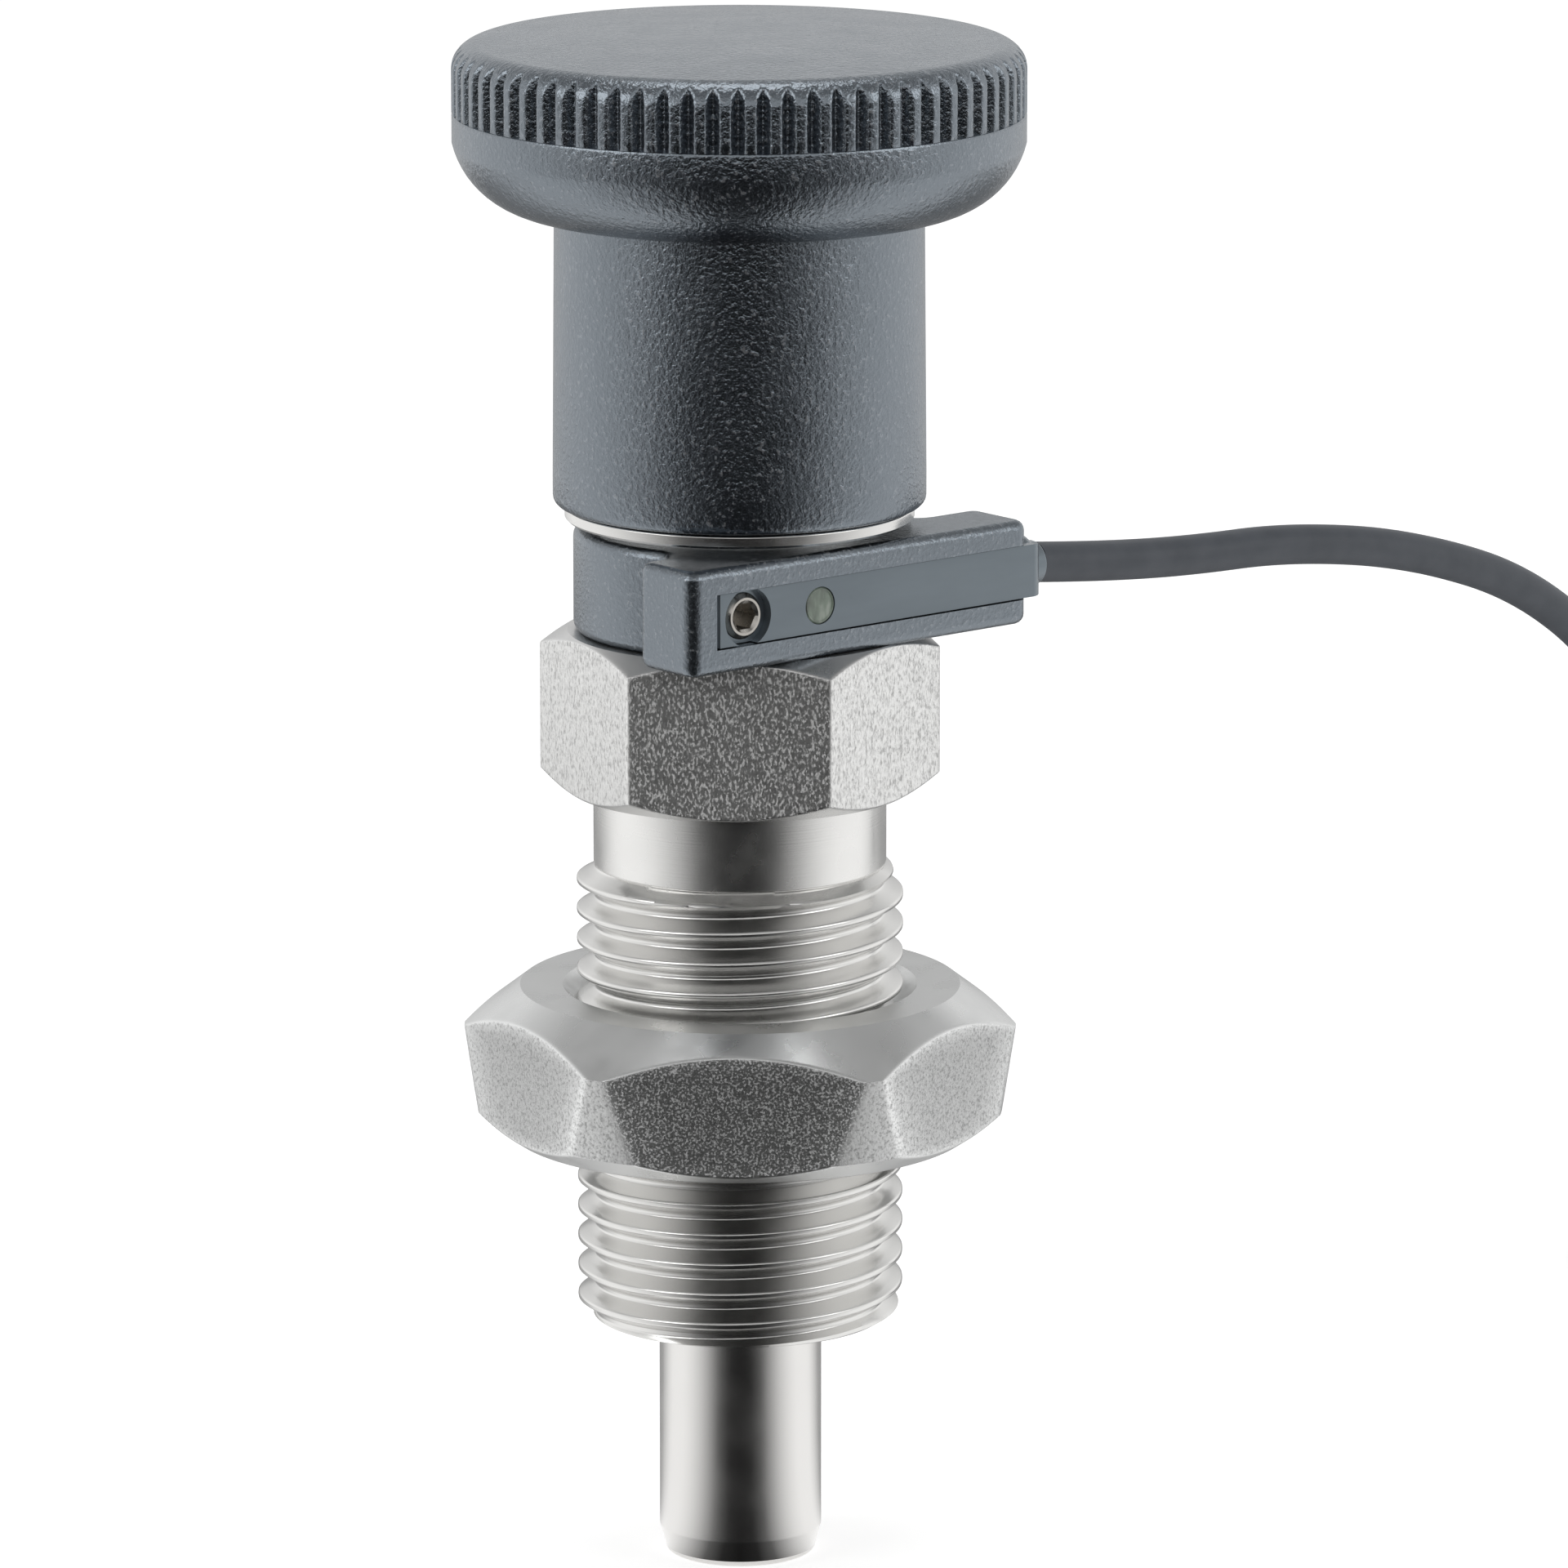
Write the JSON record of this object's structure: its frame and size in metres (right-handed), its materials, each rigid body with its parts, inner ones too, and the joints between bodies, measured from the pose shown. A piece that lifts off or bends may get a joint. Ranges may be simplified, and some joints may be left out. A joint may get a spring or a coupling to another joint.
{
  "type": "index plunger",
  "caption": "Spring-loaded locking bolt with a fluted pull knob, threaded sleeve, lock nut and a clamped position sensor on a cable.",
  "frame": {"origin": "centre of the guide sleeve's end face, where the pin comes out", "axes": "+Z along the bolt from the pin to the knob, the sensor's cable leaves along +X, the sensor faces -Y"},
  "size_m": [0.1438, 0.0316, 0.0758],
  "materials": {
    "pin_steel": "ground stainless steel",
    "sleeve_steel": "turned stainless steel",
    "nut_steel": "turned stainless steel, drawn flats",
    "spring_steel": "drawn spring wire",
    "collar_steel": "fine turned stainless steel",
    "magnet": "nickel plated",
    "knob_plastic": "black, finely eroded",
    "holder_plastic": "black, finely eroded",
    "insert_brass": "turned",
    "sensor_plastic": "smoked, slightly clear",
    "screw_steel": "bright stainless steel",
    "window_plastic": "frosted pale green",
    "board": "coated circuit board",
    "led": "clear cast",
    "cable_jacket": "smooth jacket",
    "tie_plastic": "smooth",
    "plug_plastic": "moulded black",
    "plug_metal": "knurled, nickel plated",
    "seal_rubber": "smooth",
    "contact_brass": "gold plated"
  },
  "bodies": {
    "sleeve": {"guide_sleeve": "sleeve_steel", "stem_tube": "sleeve_steel", "flanged_collar": "collar_steel", "guide_barrel": "sleeve_steel", "sensor_holder": "holder_plastic", "sensor_housing": "sensor_plastic", "clamp_screw": "screw_steel", "status_window": "window_plastic", "sensor_board": "board", "sensor_led": "led", "cable_boot": "sensor_plastic", "cable": "cable_jacket", "cable_coil": "cable_jacket", "coil_tie": "tie_plastic", "cable_tail": "cable_jacket", "plug_body": "plug_plastic", "plug_carrier": "plug_plastic", "plug_contacts": "contact_brass"},
    "plunger": {"locking_pin": "pin_steel", "magnet_ring": "magnet", "magnet_clip": "spring_steel", "compression_spring": "spring_steel"},
    "knob": {"knob_neck": "knob_plastic", "knob_bowl": "knob_plastic", "knob_crown": "knob_plastic", "knob_insert": "insert_brass"},
    "lock_nut": {"lock_nut": "nut_steel"},
    "plug_ring": {"plug_ring": "plug_metal", "plug_seal": "seal_rubber"}
  },
  "joints": [
    {"name": "plunger_slide", "type": "slide", "parent": "sleeve", "child": "plunger", "axis": [0, 0, 1], "range_m": [0, 0.0116], "stiffness_N_per_m": 1379, "springref_m": -0.0087, "deforming": ["compression_spring"]},
    {"name": "knob_turn", "type": "hinge", "parent": "plunger", "child": "knob", "pos_m": [0, 0, 0.06], "axis": [0, 0, 1], "continuous": true},
    {"name": "nut_turn", "type": "hinge", "parent": "sleeve", "child": "lock_nut", "pos_m": [0, 0, 0.01297], "axis": [0, 0, 1], "continuous": true},
    {"name": "plug_ring_turn", "type": "hinge", "parent": "sleeve", "child": "plug_ring", "pos_m": [0.125, -0.0055, -0.0074], "axis": [1, 0, 0], "continuous": true}
  ]
}
